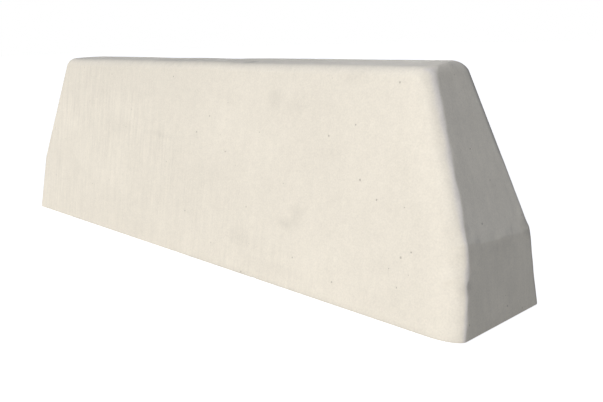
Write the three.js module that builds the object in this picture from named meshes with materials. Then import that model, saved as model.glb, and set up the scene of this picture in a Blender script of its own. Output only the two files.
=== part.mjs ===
// Precast concrete kerb stone: one solid block, lying on its flat base.
//
// Each end stands nearly upright up to the top of a plinth and slopes inwards above it. Both long
// faces lean inwards from the base to the top, so the block leaves its mould. The upright corners
// and the edges of the top are rounded, and the edges of the base are sharp.
//
// Millimetres. +X runs along the block, +Y across it and +Z up, with the origin at the middle of
// the base.

import * as THREE from 'three';

// Driving dimensions
const LENGTH = 1000; // the base, end to end
const WIDTH = 180; // the base, across
const HEIGHT = 290;
const PLINTH_HEIGHT = 98; // up to the crease across each end
const PLINTH_DRAFT = 8; // how far an end leans in from the base to the crease
const END_SLOPE_RUN = 72; // how far an end leans in from the crease to the top
const SIDE_BATTER_RUN = 48; // how far a long face leans in from the base to the top
const CREASE_BLEND = 7; // the rounding of the crease reaches this far above and below it
const CORNER_ALONG = 20; // the rounding of the four upright corners takes this much of a long face
const CORNER_ACROSS = 14; // and this much of an end
const TOP_RADIUS = 13; // the edges of the top

// Fineness of the curved faces
const CORNER_STEPS = 4; // spans for each eighth of a turn
const CREASE_STEPS = 4;
const TOP_STEPS = 8;

// The inward lean of the faces, in millimetres for each millimetre of height
const PLINTH_LEAN = PLINTH_DRAFT / PLINTH_HEIGHT;
const SLOPE_LEAN = END_SLOPE_RUN / (HEIGHT - PLINTH_HEIGHT);
const SIDE_LEAN = SIDE_BATTER_RUN / HEIGHT;

// The most of the top's half length and half width that an upright corner may take
const CORNER_SHARE = 0.95;

// How far the rounding of the top has drawn every face in at height z.
function topInset(z) {
  const rise = Math.max(0, z - (HEIGHT - TOP_RADIUS));
  return TOP_RADIUS - Math.sqrt(Math.max(0, TOP_RADIUS ** 2 - rise ** 2));
}

// How far an end lies inside the base at height z. The two leans meet in a parabola at the crease.
function endInset(z) {
  const bend = THREE.MathUtils.clamp(z - PLINTH_HEIGHT + CREASE_BLEND, 0, 2 * CREASE_BLEND);
  const above = Math.max(0, z - PLINTH_HEIGHT - CREASE_BLEND);
  const slopeHeight = bend ** 2 / (4 * CREASE_BLEND) + above;
  return PLINTH_LEAN * z + (SLOPE_LEAN - PLINTH_LEAN) * slopeHeight + topInset(z);
}

// How far a long face lies inside the base at height z.
function sideInset(z) {
  return SIDE_LEAN * z + topInset(z);
}

// How much of each face an upright corner takes. The narrow top limits both.
function cornerRuns() {
  const topHalfLength = LENGTH / 2 - endInset(HEIGHT);
  const topHalfWidth = WIDTH / 2 - sideInset(HEIGHT);
  return {
    along: Math.min(CORNER_ALONG, CORNER_SHARE * topHalfLength),
    across: Math.min(CORNER_ACROSS, CORNER_SHARE * topHalfWidth),
  };
}

// The block's outline at height z: a rectangle with a quarter of an ellipse at each corner.
function outlineAt(z) {
  const { along, across } = cornerRuns();
  const x = LENGTH / 2 - endInset(z) - along;
  const y = WIDTH / 2 - sideInset(z) - across;
  const outline = new THREE.Shape();
  outline.absellipse(x, y, along, across, 0, Math.PI / 2);
  outline.absellipse(-x, y, along, across, Math.PI / 2, Math.PI);
  outline.absellipse(-x, -y, along, across, Math.PI, 1.5 * Math.PI);
  outline.absellipse(x, -y, along, across, 1.5 * Math.PI, 2 * Math.PI);
  return outline;
}

// The heights of the outlines, from the base to the top: close together only where a face curves.
function outlineLevels() {
  const levels = [0];
  for (let step = 0; step <= CREASE_STEPS; step += 1) {
    const rise = (2 * CREASE_BLEND * step) / CREASE_STEPS;
    levels.push(PLINTH_HEIGHT - CREASE_BLEND + rise);
  }
  for (let step = 0; step <= TOP_STEPS; step += 1) {
    const angle = (Math.PI / 2) * (step / TOP_STEPS);
    levels.push(HEIGHT - TOP_RADIUS + TOP_RADIUS * Math.sin(angle));
  }
  return levels;
}

// A closed skin through one outline at each height, flat at the bottom and at the top. Every
// outline has the same number of points, so point i of one joins to point i of the next.
function loft(levels, outlineAtLevel) {
  const rings = levels.map((z) => outlineAtLevel(z).getPoints(CORNER_STEPS));
  const count = rings[0].length;
  const positions = [];
  rings.forEach((ring, level) => {
    ring.forEach((point) => positions.push(point.x, point.y, levels[level]));
  });

  const faces = [];
  for (let level = 0; level < rings.length - 1; level += 1) {
    const low = level * count;
    const high = low + count;
    for (let i = 0; i < count; i += 1) {
      const j = (i + 1) % count;
      faces.push(low + i, low + j, high + j);
      faces.push(low + i, high + j, high + i);
    }
  }

  const topLevel = rings.length - 1;
  const bottomFaces = THREE.ShapeUtils.triangulateShape(rings[0], []);
  const topFaces = THREE.ShapeUtils.triangulateShape(rings[topLevel], []);
  bottomFaces.forEach(([a, b, c]) => faces.push(a, c, b));
  topFaces.forEach((face) => faces.push(...face.map((corner) => topLevel * count + corner)));

  const geometry = new THREE.BufferGeometry();
  geometry.setAttribute('position', new THREE.Float32BufferAttribute(positions, 3));
  geometry.setIndex(faces);
  geometry.computeVertexNormals();
  return geometry;
}

const concrete = new THREE.MeshStandardMaterial({
  color: 0xe8dfcf,
  roughness: 0.92,
  metalness: 0,
});

const kerbStone = new THREE.Mesh(loft(outlineLevels(), outlineAt), concrete);
kerbStone.name = 'kerb_stone';

const group = new THREE.Group();
group.add(kerbStone);

export default group;
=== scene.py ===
"""Concrete kerb stone: the looks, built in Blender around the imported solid.

Metres, +X along the block, +Y across it, +Z up, the origin at the middle of the base.
"""
from math import cos, pi, radians, sin, sqrt

import bpy
from mathutils import Matrix, Vector, noise


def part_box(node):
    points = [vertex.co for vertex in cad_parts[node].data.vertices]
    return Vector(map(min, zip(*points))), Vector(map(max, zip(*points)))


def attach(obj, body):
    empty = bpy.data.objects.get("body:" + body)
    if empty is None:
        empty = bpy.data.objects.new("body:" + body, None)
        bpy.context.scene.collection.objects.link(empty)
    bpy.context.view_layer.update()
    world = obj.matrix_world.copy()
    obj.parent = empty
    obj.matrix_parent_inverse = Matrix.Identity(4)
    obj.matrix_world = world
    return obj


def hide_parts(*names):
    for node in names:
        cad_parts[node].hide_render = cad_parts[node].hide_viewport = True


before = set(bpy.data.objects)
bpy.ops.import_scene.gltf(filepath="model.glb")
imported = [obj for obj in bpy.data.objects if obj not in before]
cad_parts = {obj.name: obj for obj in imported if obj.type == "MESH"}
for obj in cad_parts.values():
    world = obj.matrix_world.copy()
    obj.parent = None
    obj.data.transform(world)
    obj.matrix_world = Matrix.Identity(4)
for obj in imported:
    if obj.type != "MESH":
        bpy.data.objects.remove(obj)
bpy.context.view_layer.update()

# ---------------------------------------------------------------- the block's sizes
LOW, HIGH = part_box("kerb_stone")
LENGTH = HIGH.x - LOW.x
WIDTH = HIGH.y - LOW.y
HEIGHT = HIGH.z - LOW.z
PLINTH_HEIGHT = 0.098
PLINTH_DRAFT = 0.008  # an end's lean from the base to the crease
END_SLOPE_RUN = 0.072  # an end's lean from the crease to the top
SIDE_BATTER_RUN = 0.048  # a long face's lean from the base to the top
CREASE_BLEND = 0.0015  # the bend at the crease reaches this far above and below it
CORNER_ALONG = 0.020  # the rounding of an upright corner takes this much of a long face
CORNER_ACROSS = 0.014  # and this much of an end
TOP_RADIUS = 0.013  # the edges of the top
TOP_END_RUN = 0.004  # at an end their rounding takes this much of the length in front
TOP_REAR_RUN = 0.010  # and this much at the back

# The inward lean of the faces, in metres for each metre of height
PLINTH_LEAN = PLINTH_DRAFT / PLINTH_HEIGHT
SLOPE_LEAN = END_SLOPE_RUN / (HEIGHT - PLINTH_HEIGHT)
SIDE_LEAN = SIDE_BATTER_RUN / HEIGHT
SLOPE_START = PLINTH_DRAFT - SLOPE_LEAN * PLINTH_HEIGHT  # the slope's inset, carried down to z = 0

# ---------------------------------------------------------------- how fine the mesh is
CELLS_ALONG = 250  # between the corners of a long face
CELLS_ACROSS = 46  # and of an end
CORNER_CELLS = 9  # in each half of a corner
ARRIS_HEIGHT = 0.004  # finer rows in the lowest stretch, for the chips of the arris
ARRIS_CELLS = 3
PLINTH_CELLS = 22  # from there to the rows at the crease
CREASE_REACH = 0.005  # finer rows this far above and below the crease
CREASE_CELLS = 8
SLOPE_CELLS = 46  # from there to the rounding of the top
TOP_CELLS = 10
SHARP_ANGLE = 50  # degrees; edges that turn more are shaded sharp

# ---------------------------------------------------------------- what casting and handling left
# Each RATE is the pace of a noise, in blobs for each metre.
FRONT_CORNER = (  # by height: how much more the front right corner takes, along and across
    (0.000, 0.0190, 0.0020),
    (0.024, 0.0248, 0.0027),
    (0.044, 0.0195, 0.0022),
    (0.051, 0.0165, 0.0005),
    (0.058, 0.0130, -0.0006),
    (0.066, 0.0000, 0.0040),
    (0.074, 0.0080, 0.0026),
    (0.084, 0.0085, 0.0018),
    (0.094, 0.0020, -0.0012),
    (0.101, -0.0050, -0.0027),
    (0.108, -0.0065, -0.0028),
    (0.118, -0.0052, -0.0035),
    (0.127, -0.0035, 0.0015),
    (0.134, -0.0010, 0.0034),
    (0.152, -0.0020, 0.0018),
    (0.164, 0.0010, -0.0004),
    (0.179, -0.0020, 0.0015),
    (0.200, 0.0000, 0.0042),
    (0.211, -0.0032, 0.0043),
    (0.220, -0.0022, 0.0014),
    (0.231, 0.0000, 0.0024),
    (0.243, -0.0050, 0.0045),
    (0.258, 0.0028, 0.0020),
    (0.272, -0.0022, 0.0046),
    (0.290, -0.0020, 0.0046),
)
REAR_CORNER = (  # and the rear right one
    (0.000, 0.0000, 0.0018),
    (0.035, 0.0000, 0.0015),
    (0.058, -0.0025, -0.0002),
    (0.088, -0.0072, -0.0024),
    (0.104, -0.0048, -0.0008),
    (0.120, -0.0053, -0.0010),
    (0.145, -0.0044, -0.0005),
    (0.172, -0.0028, -0.0003),
    (0.190, -0.0065, 0.0030),
    (0.290, -0.0065, 0.0030),
)
TOP_LINE = (  # along the block: how far the top's front edge has sunk, and its rear edge risen
    (-0.430, 0.0000, 0.0014),
    (-0.350, 0.0013, 0.0010),
    (-0.250, 0.0012, 0.0008),
    (-0.150, 0.0014, -0.0001),
    (-0.095, 0.0023, 0.0001),
    (0.000, 0.0018, -0.0006),
    (0.050, 0.0017, 0.0000),
    (0.092, 0.0037, 0.0002),
    (0.190, 0.0037, 0.0001),
    (0.250, 0.0034, 0.0000),
    (0.430, 0.0036, 0.0001),
)
TOP_LINE_FADE = 0.05  # both have died out this far below the top
TOP_LINE_PASS = (-0.8, 0.6)  # one passes into the other here, in shares of half the top's width
CREASE_LINE = (  # across the block: how far the crease at the right end lies above its level
    (-0.054, 0.0055),
    (-0.034, 0.0018),
    (-0.022, 0.0012),
    (-0.009, -0.0007),
    (0.004, 0.0001),
    (0.010, -0.0001),
    (0.022, -0.0018),
    (0.034, -0.0026),
    (0.048, -0.0036),
    (0.075, 0.0000),
)
CREASE_LINE_FADE = 0.012  # all but the tilt has died out this far above and below the crease
CREASE_TILT = -0.075  # the line's mean fall towards the back
CREASE_TILT_END = (0.040, 0.090)  # which ends between these places across the block
CREASE_TILT_FADE = 0.09  # and has died out this far above and below the crease
CREASE_WAVER = 0.0010  # the crease is a little ragged
CREASE_WAVER_RATE = 140.0
CREASE_WAVER_SLICE = (3.7, 0.5)  # the x and z at which the noise is read
CREASE_WAVER_FRACTAL = (1.0, 2.0, 2)  # its increment, its lacunarity and its octaves
WAVE_HEIGHT = 0.00035  # slow waves of the mould, some 180 mm long
WAVE_RATE = 5.5
RIPPLE_HEIGHT = 0.00012  # and quicker ones, some 40 mm long
RIPPLE_RATE = 24.0
CORNER_ROUGH = 0.0008  # the unevenness of the front right corner, and of the rear left one
CORNER_ROUGH_RATE = 70.0
CORNER_ROUGH_TURN = 4  # it grows this fast with the product of the normal's x and -y
FOOT_FADE = 0.03  # all three die out from this height down to the floor
ARRIS_WEAR = 0.0002  # the arris of the base is blunted by this much
CHIP_DEPTH = 0.0045  # the chips of the arris reach this far into it
CHIP_HEIGHT = 0.0075  # and this far up
CHIP_RATE = 62.0
CHIP_SLICE = 7.3  # the z at which the noise is read
CHIP_LEVEL = 0.42  # noise above this level becomes a chip
CHIP_END_FADE = 0.05  # the chips die out from this far before the right end up to its corner
BASE_HOLLOW = 0.0006  # the trowelled underside dips by up to this much inside its rim
BASE_HOLLOW_RATE = 18
BASE_RIM_TURN = 0.1  # on that rim the normals turn outwards by more than this

# ---------------------------------------------------------------- the concrete
CONCRETE_DARK = (0.48, 0.447, 0.384, 1)
CONCRETE_LIGHT = (0.96, 0.894, 0.762, 1)
TONE_LOW = -0.4  # those two are this much darker and lighter than the mean
TONE_HIGH = 0.2
TONE_ALONG = (0.0, 0.40, -0.012, 0.028)  # from this x to this x, from this tone to this tone
NOISE_LOW = 0.3  # most of a noise texture lies between these two
NOISE_HIGH = 0.7
DETAIL = 2.0  # octaves of the noise, where nothing else is said
FINE_DETAIL = 3.0
CLOUDS = (  # blobs for each metre along x, y and z, detail, tone
    ((5, 5, 6), DETAIL, 0.014),
    ((24, 24, 30), FINE_DETAIL, 0.014),
    ((110, 110, 120), DETAIL, 0.018),
    ((440, 440, 440), DETAIL, 0.038),
)
PATCHES = (11, 11, 11)  # where streaks, stains and the painted shade among them are stronger, in blobs for each metre
PATCHY_STREAKS = 0.4  # by up to this share
PATCHY_MARKS = 0.3
SIDE_STREAKS = (185, 6, 18)  # the long faces' streaks, in blobs for each metre
SIDE_STREAK_TONE = 0.034
STREAK_LEFT = (0.20, 0.38, 1.05, 0.3)  # their strength falls between these places on the ground
STREAK_SLANT = 2.0  # which move this much to the left for each metre up
STREAK_HEIGHTS = (0.04, 0.16, 0.65, 1.0)  # their strength grows between these heights
END_STREAKS = (6, 90, 20)  # the ends' streaks, in the same way
END_STREAK_TONE = 0.035
STAINS_AND_PAINTED_SHADE = (  # soft round marks, most of them stains and some painted shade: place, half sizes, tone
    ((0.183, -0.050, 0.242), (0.018, 0.03, 0.018), -0.08),
    ((0.220, -0.051, 0.236), (0.028, 0.03, 0.018), -0.07),
    ((0.243, -0.074, 0.099), (0.020, 0.03, 0.020), -0.08),
    ((0.224, -0.076, 0.085), (0.026, 0.03, 0.012), -0.08),
    ((0.139, -0.082, 0.049), (0.040, 0.03, 0.018), -0.05),
    ((-0.085, -0.061, 0.175), (0.050, 0.03, 0.008), -0.06),
    ((-0.212, -0.060, 0.180), (0.060, 0.03, 0.026), -0.04),
    ((-0.378, -0.062, 0.170), (0.060, 0.03, 0.022), 0.035),
    ((-0.222, -0.075, 0.094), (0.150, 0.03, 0.045), 0.035),
    ((-0.345, -0.075, 0.092), (0.030, 0.03, 0.016), -0.05),
    ((-0.418, -0.074, 0.099), (0.030, 0.03, 0.020), -0.02),
    ((0.205, -0.086, 0.022), (0.070, 0.03, 0.014), -0.04),
    ((0.320, -0.045, 0.274), (0.030, 0.03, 0.014), -0.05),
    ((0.390, -0.080, 0.063), (0.035, 0.03, 0.014), -0.035),
    ((0.410, -0.086, 0.024), (0.035, 0.03, 0.020), -0.035),
    ((-0.250, -0.045, 0.280), (0.300, 0.03, 0.100), -0.05),
    ((0.080, -0.057, 0.200), (0.160, 0.03, 0.080), 0.035),
    ((0.400, -0.055, 0.220), (0.120, 0.03, 0.090), 0.025),
    # painted shade on the right end's top edge, which turns from the light
    ((0.428, -0.019, 0.270), (0.035, 0.02, 0.035), -0.06),
    ((0.445, 0.022, 0.215), (0.040, 0.02, 0.070), 0.015),
    ((0.490, 0.030, 0.104), (0.015, 0.004, 0.010), -0.12),
    ((0.493, -0.050, 0.086), (0.015, 0.018, 0.018), 0.030),
    # painted shade on the rounding of the rear right corner at the crease
    ((0.490, 0.060, 0.098), (0.020, 0.015, 0.020), -0.24),
    # painted shade on the right end's top edge, which turns from the light
    ((0.422, 0.010, 0.282), (0.032, 0.050, 0.042), -0.09),
    ((0.493, -0.006, 0.088), (0.015, 0.030, 0.013), -0.05),
    # these three: painted shade on the front right corner's rounding, and in the knock low on it
    ((0.485, -0.072, 0.112), (0.022, 0.030, 0.035), -0.09),
    ((0.481, -0.068, 0.124), (0.020, 0.030, 0.024), -0.07),
    ((0.495, -0.080, 0.058), (0.013, 0.030, 0.012), -0.22),
    ((0.020, 0.000, 0.292), (0.320, 0.080, 0.014), -0.17),
    ((0.030, 0.030, 0.290), (0.020, 0.016, 0.010), -0.25),
    ((0.100, -0.020, 0.289), (0.018, 0.016, 0.008), -0.30),
)
FRAYS = (45, 45, 45)  # the noise that frays the stains, in blobs for each metre
FRAY_REACH = 0.018
LIP_START = (0.093, 0.100)  # the ends' lighter lip begins between these heights
LIP_END = (0.104, 0.150)  # and ends between these
LIP_TONE = 0.036
REAR_SHADE_TURN = (0.08, 0.32, 0.0, -0.36)  # painted shade on the rear right corner, which turns away from the light, by how far it turns back
REAR_SHADE_END = (0.55, 0.72)  # by how far it still faces the end
REAR_SHADE_HEIGHTS = (0.15, 0.20)  # and it starts between these heights
BAND_REACH = (0.060, 0.022, 0.0, 0.034)  # a lighter band, by the distance from the right end
RIM_HEIGHT = 0.0020  # painted contact shade: the long faces are darker up to this height
RIM_TONE = -0.12
SOFT_RIM_HEIGHT = 0.008  # and a little darker up to this one, on the right half
SOFT_RIM_TONE = -0.055
SOFT_RIM_REACH = (-0.05, 0.08)  # the soft rim grows between these places along the block
CORNER_TINT = (0.99, 1.0, 1.07, 1)  # painted shade: the front right corner and the rear left one get the greyer, bluer tint of shade
CORNER_TINT_TURN = (0.03, 0.22)  # by the product of how far they face the end and the front
CORNER_TINT_SIDE = (0.38, 0.7, 1.0, 0.0)  # and less where they turn to the long face
HOLE_RATE = 70.0  # cells for each metre
HOLE_SHARE = 0.5  # this share of the cells may hold an air hole
HOLE_SIZE = 0.1  # its largest radius, in cells
HOLE_EDGE = 0.02  # and the width of its edge
# painted shade inside the air holes
HOLE_SHADE_TONE = -0.28
HOLE_DEPTH = 0.0008
GRAIN = (700, 700, 700)  # the grain of the surface, in blobs for each metre
GRAIN_HEIGHT = 0.00004
ROUGHNESS = (0.86, 0.95)  # in the low places of the grain and on the high ones
SPECULAR = 0.5

# ---------------------------------------------------------------- camera
CAMERA_PLACE = (0.897448, -0.691559, 0.323847)
CAMERA_YAW = 46.259  # degrees, from +Y towards -X
CAMERA_PITCH = 13.0  # degrees below the horizon
CAMERA_ROLL = -1.448  # degrees
FOCAL_PIXELS = 722.746
IMAGE_WIDTH = 603  # pixels
SENSOR_WIDTH = 36.0  # millimetres

# ---------------------------------------------------------------- light and floor
KEY_AZIMUTH = 5  # degrees, from straight at the front face towards +X
KEY_HEIGHT = 5  # degrees above the floor
KEY_ENERGY = 2.345
KEY_COLOR = (1.019, 1.0, 0.983)
KEY_SOFTNESS = 4  # degrees across
FILL_AZIMUTH = -139  # a second lamp lights the back and the left end
FILL_HEIGHT = 2.5
FILL_ENERGY = 1.7
FILL_COLOR = (1.0, 1.0, 0.99)
FILL_SOFTNESS = 12
SKY_LOW = 0.184  # the strength of the soft light at the horizon
SKY_HIGH = 0.565  # and straight above
SKY_LOW_COLOR = (0.92, 0.993, 1.06, 1)
SKY_HIGH_COLOR = (0.935, 0.985, 1.16, 1)
FLOOR_TONE = 0.28  # as the light on the object finds it
FLOOR_SEEN = 0.5  # its tone as the camera sees it
FLOOR_GLOW = 0.82  # and the glow that makes it pale
FLOOR_SIZE = 30


# ---------------------------------------------------------------- the block's shape
def ease(start, end, value):
    """0 before start, 1 after end, and a smooth rise between them."""
    share = min(max((value - start) / (end - start), 0.0), 1.0)
    return share * share * (3 - 2 * share)


def from_table(rows, place):
    """The values of a table at a place, with a smooth passage from row to row."""
    for low, high in zip(rows, rows[1:]):
        if place <= high[0]:
            break
    share = ease(low[0], high[0], place)
    return [start + (end - start) * share for start, end in zip(low[1:], high[1:])]


def steps(start, end, count):
    """Evenly spaced values from start up to, but not including, end."""
    return [start + (end - start) * i / count for i in range(count)]


def top_inset(z):
    """How far the rounding of the top has drawn every face in at height z."""
    rise = max(0.0, z - (HEIGHT - TOP_RADIUS))
    return TOP_RADIUS - sqrt(max(0.0, TOP_RADIUS ** 2 - rise ** 2))


def end_inset(share_y, z):
    """How far an end lies inside the base at height z, at a place across the block."""
    top_run = TOP_END_RUN + (TOP_REAR_RUN - TOP_END_RUN) * ease(0, 1, share_y[0])
    rounding = top_inset(z) * top_run / TOP_RADIUS
    bend = min(max(z - PLINTH_HEIGHT + CREASE_BLEND, 0.0), 2 * CREASE_BLEND)
    above = max(0.0, z - PLINTH_HEIGHT - CREASE_BLEND)
    slope_height = bend ** 2 / (4 * CREASE_BLEND) + above
    return PLINTH_LEAN * z + (SLOPE_LEAN - PLINTH_LEAN) * slope_height + rounding


def side_inset(z):
    """How far a long face lies inside the base at height z."""
    return SIDE_LEAN * z + top_inset(z)


def corner_runs(share_x, share_y, z):
    """How much of a long face and of an end the nearest upright corner takes at height z."""
    right = ease(0, 1, share_x[0])
    along, across = CORNER_ALONG, CORNER_ACROSS
    for rows, side in ((FRONT_CORNER, -share_y[0]), (REAR_CORNER, share_y[0])):
        more_along, more_across = from_table(rows, z)
        along += more_along * right * ease(0, 1, side)
        across += more_across * right * ease(0, 1, side)
    return along, across


def crease_shift(y, z):
    """How far the crease at the right end lies above its level, at a place across the block."""
    tilt = CREASE_TILT * y * (1 - ease(*CREASE_TILT_END, y))
    slice_x, slice_z = CREASE_WAVER_SLICE
    noise_place = Vector((slice_x, y * CREASE_WAVER_RATE, slice_z))
    waver = CREASE_WAVER * noise.fractal(noise_place, *CREASE_WAVER_FRACTAL)
    rest = from_table(CREASE_LINE, y)[0] - tilt + waver
    away = abs(z - PLINTH_HEIGHT)
    wide = 1 - ease(0, CREASE_TILT_FADE, away)
    near = 1 - ease(0, CREASE_LINE_FADE, away)
    return tilt * wide + rest * near


def top_shift(point):
    """How far the top lies above its level at a point."""
    sunk, risen = from_table(TOP_LINE, point.x)
    half_top = WIDTH / 2 - SIDE_BATTER_RUN
    front, rear = TOP_LINE_PASS
    to_rear = ease(half_top * front, half_top * rear, point.y)
    high = ease(HEIGHT - TOP_LINE_FADE, HEIGHT - TOP_RADIUS, point.z)
    return (risen * to_rear - sunk * (1 - to_rear)) * high


def grid_heights():
    """The heights of the mesh's rows, closer together where the faces curve."""
    crease_low = PLINTH_HEIGHT - CREASE_REACH
    crease_high = PLINTH_HEIGHT + CREASE_REACH
    top_low = HEIGHT - TOP_RADIUS
    rows = steps(0.0, ARRIS_HEIGHT, ARRIS_CELLS)
    rows += steps(ARRIS_HEIGHT, crease_low, PLINTH_CELLS)
    rows += steps(crease_low, crease_high, CREASE_CELLS)
    rows += steps(crease_high, top_low, SLOPE_CELLS)
    rows += [top_low + TOP_RADIUS * sin(turn) for turn in steps(0, pi / 2, TOP_CELLS)]
    return rows + [HEIGHT]


def grid_shares(cells):
    """Places across a face as (flat, corner): flat runs over -1..1, corner over -1..1 past it."""
    lead = [(-1.0, -1.0 + i / CORNER_CELLS) for i in range(CORNER_CELLS)]
    middle = [(-1.0 + 2 * i / cells, 0.0) for i in range(cells + 1)]
    tail = [(1.0, (i + 1) / CORNER_CELLS) for i in range(CORNER_CELLS)]
    return lead + middle + tail


def round_corner(u, v):
    """Moves a place in a corner's square into a quarter circle: equal cells make equal angles."""
    if not (u and v):
        return u, v
    reach = max(abs(u), abs(v))
    turn = pi / 4 * min(abs(u), abs(v)) / reach
    major, minor = cos(turn) * reach, sin(turn) * reach
    if abs(u) < abs(v):
        major, minor = minor, major
    return (major if u > 0 else -major), (minor if v > 0 else -minor)


def surface_point(share_x, share_y, z):
    """The point for a place on the box grid: square corners become round ones."""
    along, across = corner_runs(share_x, share_y, z)
    flat_x = LENGTH / 2 - end_inset(share_y, z) - along
    flat_y = WIDTH / 2 - side_inset(z) - across
    u, v = round_corner(share_x[1], share_y[1])
    point = Vector((share_x[0] * flat_x + u * along, share_y[0] * flat_y + v * across, z))
    if 0 < z < HEIGHT:
        point.z += crease_shift(point.y, z) * max(0.0, u)
    point.z += top_shift(point)
    return point


def kerb_grid():
    """The vertices and quads of the six faces of a box grid, bent to the block's surface."""
    xs, ys, zs = grid_shares(CELLS_ALONG), grid_shares(CELLS_ACROSS), grid_heights()
    nx, ny, nz = len(xs) - 1, len(ys) - 1, len(zs) - 1
    index, points, quads = {}, [], []

    def vertex(place):
        if place not in index:
            i, j, k = place
            index[place] = len(points)
            points.append(surface_point(xs[i], ys[j], zs[k]))
        return index[place]

    def quad(*places):
        quads.append([vertex(place) for place in places])

    for i in range(nx):
        for k in range(nz):
            quad((i, 0, k), (i + 1, 0, k), (i + 1, 0, k + 1), (i, 0, k + 1))
            quad((i + 1, ny, k), (i, ny, k), (i, ny, k + 1), (i + 1, ny, k + 1))
    for j in range(ny):
        for k in range(nz):
            quad((nx, j, k), (nx, j + 1, k), (nx, j + 1, k + 1), (nx, j, k + 1))
            quad((0, j + 1, k), (0, j, k), (0, j, k + 1), (0, j + 1, k + 1))
    for i in range(nx):
        for j in range(ny):
            quad((i, j, nz), (i + 1, j, nz), (i + 1, j + 1, nz), (i, j + 1, nz))
            quad((i, j + 1, 0), (i + 1, j + 1, 0), (i + 1, j, 0), (i, j, 0))
    return points, quads


def mould_waves(place):
    """The unevenness that a mould leaves, as a height over the ideal face."""
    slow = WAVE_HEIGHT * noise.noise(place * WAVE_RATE)
    return slow + RIPPLE_HEIGHT * noise.noise(place * RIPPLE_RATE)


def corner_roughness(place, outwards):
    """The unevenness of the worn corners, as a height over the ideal face."""
    corner = min(1.0, CORNER_ROUGH_TURN * max(0.0, -outwards.x * outwards.y))
    return CORNER_ROUGH * corner * noise.noise(place * CORNER_ROUGH_RATE)


def arris_wear(place):
    """How much the base's arris is blunted at a place near it."""
    return ARRIS_WEAR * max(0.0, 1 - place.z / ARRIS_HEIGHT) ** 2


def chip_depth(place):
    """How much of the base's arris is broken away at a place near it."""
    level = noise.noise(Vector((place.x * CHIP_RATE, place.y * CHIP_RATE, CHIP_SLICE)))
    size = max(0.0, level - CHIP_LEVEL) / (1 - CHIP_LEVEL)
    size *= 1 - ease(LENGTH / 2 - CHIP_END_FADE, LENGTH / 2 - CORNER_ALONG, place.x)
    return CHIP_DEPTH * size * max(0.0, 1 - place.z / CHIP_HEIGHT)


def weather(mesh):
    """Moves the vertices by what casting and handling left: the base stays on the floor."""
    moved = []
    for vertex in mesh.vertices:
        place, outwards = vertex.co.copy(), vertex.normal.copy()
        loss = chip_depth(place) + arris_wear(place)
        sideways = Vector((outwards.x, outwards.y, 0.0))
        if place.z > 0:
            height = mould_waves(place) + corner_roughness(place, outwards)
            moved.append(place + outwards * (height * ease(0, FOOT_FADE, place.z) - loss))
        elif sideways.length > BASE_RIM_TURN:
            moved.append(place - sideways.normalized() * loss)
        else:
            hollow = 0.5 + 0.5 * noise.noise(place * BASE_HOLLOW_RATE)
            moved.append(place + Vector((0, 0, BASE_HOLLOW * hollow)))
    for vertex, place in zip(mesh.vertices, moved):
        vertex.co = place
    mesh.update()


# ---------------------------------------------------------------- node trees
def node(tree, kind, sockets, **settings):
    """A new node; sockets says what its inputs get, by their names or numbers."""
    made = tree.nodes.new(kind)
    for name, value in settings.items():
        setattr(made, name, value)
    for name, value in sockets.items():
        if isinstance(value, bpy.types.NodeSocket):
            tree.links.new(value, made.inputs[name])
        else:
            made.inputs[name].default_value = value
    return made


def maths(tree, operation, *values, kind="ShaderNodeMath", **settings):
    """The result of a Math node, or of another of that kind, on sockets and numbers."""
    return node(tree, kind, dict(enumerate(values)), operation=operation, **settings).outputs[0]


def product(tree, total, *values):
    """All of them multiplied."""
    for value in values:
        total = maths(tree, "MULTIPLY", total, value)
    return total


def plus_share(tree, total, value, share):
    """total with a share of value added."""
    return maths(tree, "MULTIPLY_ADD", value, share, total)


def ramp(tree, value, start, end, low=0.0, high=1.0, kind="SMOOTHSTEP"):
    """low before start, high after end, and a smooth passage between them."""
    sockets = {"Value": value, "From Min": start, "From Max": end, "To Min": low, "To Max": high}
    return node(tree, "ShaderNodeMapRange", sockets, interpolation_type=kind).outputs["Result"]


def axes_of(tree, vector):
    """The x, y and z of a vector."""
    return tuple(node(tree, "ShaderNodeSeparateXYZ", {0: vector}).outputs)


def mixed(tree, share, start, end, **settings):
    """The colour at a share of the way from start to end, or to start times end."""
    sockets = {"Factor": share, "A": start, "B": end}
    return node(tree, "ShaderNodeMix", sockets, data_type="RGBA", **settings).outputs["Result"]


def noise_texture(tree, place, rates, detail):
    """Noise of so many blobs for each metre along x, y and z."""
    stretch = {"Vector": place, "Scale": rates}
    stretched = node(tree, "ShaderNodeMapping", stretch, vector_type="POINT").outputs["Vector"]
    sockets = {"Vector": stretched, "Scale": 1.0, "Detail": detail}
    return node(tree, "ShaderNodeTexNoise", sockets)


def cloud(tree, place, rates, detail=DETAIL):
    """The same noise as a number, mostly within -1 to 1."""
    level = noise_texture(tree, place, rates, detail).outputs["Fac"]
    sockets = {"Value": level, "From Min": NOISE_LOW, "From Max": NOISE_HIGH, "To Min": -1.0}
    return node(tree, "ShaderNodeMapRange", sockets, clamp=False).outputs["Result"]


def frayed(tree, place):
    """The place moved about by noise, which frays the edges of what is drawn from it."""
    level = noise_texture(tree, place, FRAYS, FINE_DETAIL).outputs["Color"]
    middle = (0.5, 0.5, 0.5)
    reach = (FRAY_REACH, FRAY_REACH, FRAY_REACH)
    centred = maths(tree, "SUBTRACT", level, middle, kind="ShaderNodeVectorMath")
    return maths(tree, "MULTIPLY_ADD", centred, reach, place, kind="ShaderNodeVectorMath")


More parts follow.
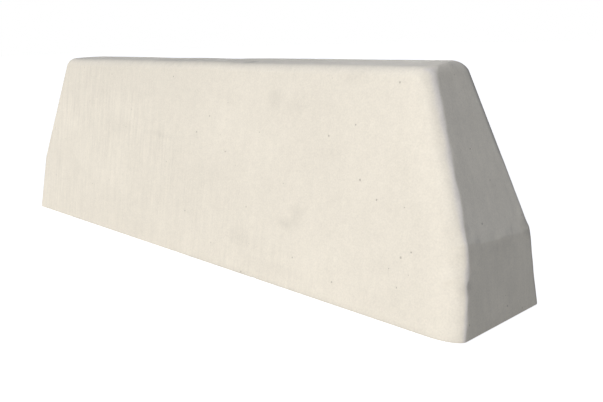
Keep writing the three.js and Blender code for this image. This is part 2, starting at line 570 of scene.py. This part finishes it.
# ---------------------------------------------------------------- materials
def stains_and_painted_shade(tree, place):
    """The tone of the soft round marks: stains, and patches of painted shade by the right end."""
    total = 0.0
    for centre, sizes, tone in STAINS_AND_PAINTED_SHADE:
        sockets = {"Vector": place, "Location": centre, "Scale": sizes}
        mapping = node(tree, "ShaderNodeMapping", sockets, vector_type="TEXTURE")
        sockets = {"Vector": mapping.outputs["Vector"]}
        mark = node(tree, "ShaderNodeTexGradient", sockets, gradient_type="SPHERICAL")
        total = plus_share(tree, total, mark.outputs["Fac"], tone)
    return total


def pinholes(tree, place):
    """1 in the middle of the air holes that casting left, and 0 elsewhere."""
    cells = node(tree, "ShaderNodeTexVoronoi", {"Vector": place, "Scale": HOLE_RATE})
    chance = node(tree, "ShaderNodeSeparateColor", {"Color": cells.outputs["Color"]})
    size = ramp(tree, chance.outputs["Red"], 1 - HOLE_SHARE, 1.0, 0.0, HOLE_SIZE, "LINEAR")
    depth = maths(tree, "SUBTRACT", size, cells.outputs["Distance"])
    return ramp(tree, depth, 0.0, HOLE_EDGE)


def end_band(tree, along, height):
    """The tone of the lighter band beside the right end."""
    plinth = maths(tree, "MULTIPLY", height, PLINTH_LEAN)
    slope = maths(tree, "MULTIPLY_ADD", height, SLOPE_LEAN, SLOPE_START)
    end = maths(tree, "SUBTRACT", LENGTH / 2, maths(tree, "MAXIMUM", plinth, slope))
    return ramp(tree, maths(tree, "SUBTRACT", end, along), *BAND_REACH)


def streak_strength(tree, along, height, patchy):
    """How strong a long face's streaks are: most at the left and high up, and patchy."""
    slanted = maths(tree, "MULTIPLY_ADD", height, STREAK_SLANT, along)
    low_to_high = ramp(tree, height, *STREAK_HEIGHTS)
    patches = plus_share(tree, 1.0, patchy, PATCHY_STREAKS)
    return product(tree, ramp(tree, slanted, *STREAK_LEFT), low_to_high, patches)


def foot_rim(tree, along, height):
    """The tone of the darker foot of a long face: a thin band of painted contact shade at the
    base, and a softer darkening above it.
    """
    rim = ramp(tree, height, 0.0, RIM_HEIGHT, RIM_TONE, 0.0)
    soft_rim = ramp(tree, height, 0.0, SOFT_RIM_HEIGHT, SOFT_RIM_TONE, 0.0)
    return maths(tree, "ADD", rim, product(tree, soft_rim, ramp(tree, along, *SOFT_RIM_REACH)))


def concrete_tone(tree, place, normal):
    """How much lighter or darker than its mean the concrete is, as a share."""
    along, _, height = axes_of(tree, place)
    facing_x, facing_y, _ = axes_of(tree, normal)
    on_side = maths(tree, "ABSOLUTE", facing_y)
    on_end = maths(tree, "ABSOLUTE", facing_x)
    patchy = cloud(tree, place, PATCHES)

    total = ramp(tree, along, *TONE_ALONG)
    for rates, detail, share in CLOUDS:
        total = plus_share(tree, total, cloud(tree, place, rates, detail), share)
    total = plus_share(tree, total, end_band(tree, along, height), on_side)

    strength = product(tree, streak_strength(tree, along, height, patchy), on_side)
    side_streaks = product(tree, cloud(tree, place, SIDE_STREAKS), strength)
    total = plus_share(tree, total, side_streaks, SIDE_STREAK_TONE)
    end_streaks = product(tree, cloud(tree, place, END_STREAKS), on_end)
    total = plus_share(tree, total, end_streaks, END_STREAK_TONE)

    # stains, with patches of painted shade by the right end
    patches = plus_share(tree, 1.0, patchy, PATCHY_MARKS)
    total = plus_share(tree, total, stains_and_painted_shade(tree, frayed(tree, place)), patches)

    lip = product(tree, ramp(tree, height, *LIP_END, LIP_TONE, 0.0), on_end)
    total = plus_share(tree, total, lip, ramp(tree, height, *LIP_START))
    # painted shade on the rear right corner, where it turns away from the light
    rear_shade = product(tree, ramp(tree, facing_y, *REAR_SHADE_TURN), ramp(tree, facing_x, *REAR_SHADE_END))
    total = plus_share(tree, total, rear_shade, ramp(tree, height, *REAR_SHADE_HEIGHTS))
    return plus_share(tree, total, foot_rim(tree, along, height), on_side)


def shade_tinted_corner(tree, normal, colour):
    """The colour with a painted greyer, bluer tint of shade where the front right and rear left
    corners turn.
    """
    facing_x, facing_y, _ = axes_of(tree, normal)
    turned = ramp(tree, product(tree, facing_x, facing_y, -1.0), *CORNER_TINT_TURN)
    off_side = ramp(tree, maths(tree, "ABSOLUTE", facing_y), *CORNER_TINT_SIDE)
    share = product(tree, turned, off_side)
    return mixed(tree, share, colour, CORNER_TINT, blend_type="MULTIPLY")


def concrete():
    """The procedural concrete: tone, pinholes and grain, in the object's own coordinates."""
    material = bpy.data.materials.new("concrete")
    material.use_nodes = True
    tree = material.node_tree
    shader = tree.nodes["Principled BSDF"]
    texture_place = node(tree, "ShaderNodeTexCoord", {})
    place, normal = texture_place.outputs["Object"], texture_place.outputs["Normal"]

    holes = pinholes(tree, place)
    # the air holes get painted shade
    tone = plus_share(tree, concrete_tone(tree, place, normal), holes, HOLE_SHADE_TONE)
    share = ramp(tree, tone, TONE_LOW, TONE_HIGH, kind="LINEAR")
    # the upright corners get a painted tint of shade
    colour = shade_tinted_corner(tree, normal, mixed(tree, share, CONCRETE_DARK, CONCRETE_LIGHT))
    tree.links.new(colour, shader.inputs["Base Color"])

    grain = cloud(tree, place, GRAIN, FINE_DETAIL)
    pores = maths(tree, "MULTIPLY", holes, -HOLE_DEPTH)
    height = plus_share(tree, pores, grain, GRAIN_HEIGHT)
    bump = node(tree, "ShaderNodeBump", {"Height": height, "Distance": 1.0})
    tree.links.new(bump.outputs["Normal"], shader.inputs["Normal"])
    roughness = ramp(tree, grain, -1.0, 1.0, *ROUGHNESS)
    tree.links.new(roughness, shader.inputs["Roughness"])
    shader.inputs["Specular IOR Level"].default_value = SPECULAR
    return material


def by_ray(tree, lighting, seen):
    """One shader for the light on the object, and another for what is seen directly."""
    path = node(tree, "ShaderNodeLightPath", {}).outputs
    directly = path["Is Camera Ray"]
    for name in ("Is Glossy Ray", "Is Transmission Ray"):
        directly = maths(tree, "ADD", directly, path[name], use_clamp=True)
    sockets = {0: directly, 1: lighting.outputs[0], 2: seen.outputs[0]}
    return node(tree, "ShaderNodeMixShader", sockets).outputs[0]


def pale_floor():
    """A floor that is seen almost white, while the object finds it darker."""
    material = bpy.data.materials.new("floor")
    material.use_nodes = True
    tree = material.node_tree
    tree.nodes.clear()
    dull = node(tree, "ShaderNodeBsdfDiffuse", {"Color": (FLOOR_TONE, FLOOR_TONE, FLOOR_TONE, 1)})
    pale = node(tree, "ShaderNodeBsdfDiffuse", {"Color": (FLOOR_SEEN, FLOOR_SEEN, FLOOR_SEEN, 1)})
    glow = node(tree, "ShaderNodeEmission", {"Strength": FLOOR_GLOW})
    both = node(tree, "ShaderNodeAddShader", {0: pale.outputs[0], 1: glow.outputs[0]})
    node(tree, "ShaderNodeOutputMaterial", {0: by_ray(tree, dull, both)})
    return material


# ---------------------------------------------------------------- the scene
def make_kerb():
    """The block itself, as one mesh."""
    points, quads = kerb_grid()
    mesh = bpy.data.meshes.new("kerb_concrete")
    mesh.from_pydata(points, [], quads)
    mesh.update()
    weather(mesh)
    kerb = bpy.data.objects.new("kerb_concrete", mesh)
    bpy.context.scene.collection.objects.link(kerb)
    mesh.shade_smooth()
    mesh.set_sharp_from_angle(angle=radians(SHARP_ANGLE))
    return kerb


def make_floor():
    bpy.ops.mesh.primitive_plane_add(size=FLOOR_SIZE, location=(0, 0, 0))
    floor = bpy.context.object
    floor.name = "floor"
    floor.data.materials.append(pale_floor())


def make_world():
    """Soft light from a sky that is brighter above, in front of a white background."""
    world = bpy.data.worlds.new("studio")
    bpy.context.scene.world = world
    world.use_nodes = True
    tree = world.node_tree
    tree.nodes.clear()
    place = node(tree, "ShaderNodeTexCoord", {}).outputs["Generated"]
    height = axes_of(tree, place)[2]
    strength = ramp(tree, height, 0.0, 1.0, SKY_LOW, SKY_HIGH, "LINEAR")
    colour = mixed(tree, height, SKY_LOW_COLOR, SKY_HIGH_COLOR)
    sky = node(tree, "ShaderNodeBackground", {"Color": colour, "Strength": strength})
    white = node(tree, "ShaderNodeBackground", {"Color": (1, 1, 1, 1)})
    node(tree, "ShaderNodeOutputWorld", {0: by_ray(tree, sky, white)})


def make_lamp(name, azimuth, height, energy, colour, softness):
    """A distant lamp; the azimuth is in degrees from straight at the front face towards +X."""
    lamp = bpy.data.objects.new(name, bpy.data.lights.new(name, "SUN"))
    bpy.context.scene.collection.objects.link(lamp)
    lamp.data.energy = energy
    lamp.data.color = colour
    lamp.data.angle = radians(softness)
    turn, rise = radians(azimuth), radians(height)
    towards = Vector((sin(turn) * cos(rise), -cos(turn) * cos(rise), sin(rise)))
    lamp.rotation_euler = towards.to_track_quat("Z", "Y").to_euler()


def make_camera():
    camera = bpy.data.objects.new("camera", bpy.data.cameras.new("camera"))
    bpy.context.scene.collection.objects.link(camera)
    camera.data.sensor_width = SENSOR_WIDTH
    camera.data.lens = FOCAL_PIXELS / IMAGE_WIDTH * SENSOR_WIDTH
    turn = Matrix.Rotation(radians(CAMERA_YAW), 4, "Z")
    tilt = Matrix.Rotation(radians(90 - CAMERA_PITCH), 4, "X")
    roll = Matrix.Rotation(radians(CAMERA_ROLL), 4, "Z")
    camera.matrix_world = Matrix.Translation(CAMERA_PLACE) @ turn @ tilt @ roll
    bpy.context.scene.camera = camera


kerb = make_kerb()
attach(kerb, "root")
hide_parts("kerb_stone")
kerb.data.materials.append(concrete())
make_floor()
make_camera()
make_world()
make_lamp("key", KEY_AZIMUTH, KEY_HEIGHT, KEY_ENERGY, KEY_COLOR, KEY_SOFTNESS)
make_lamp("fill", FILL_AZIMUTH, FILL_HEIGHT, FILL_ENERGY, FILL_COLOR, FILL_SOFTNESS)
bpy.context.scene.view_settings.view_transform = "Standard"
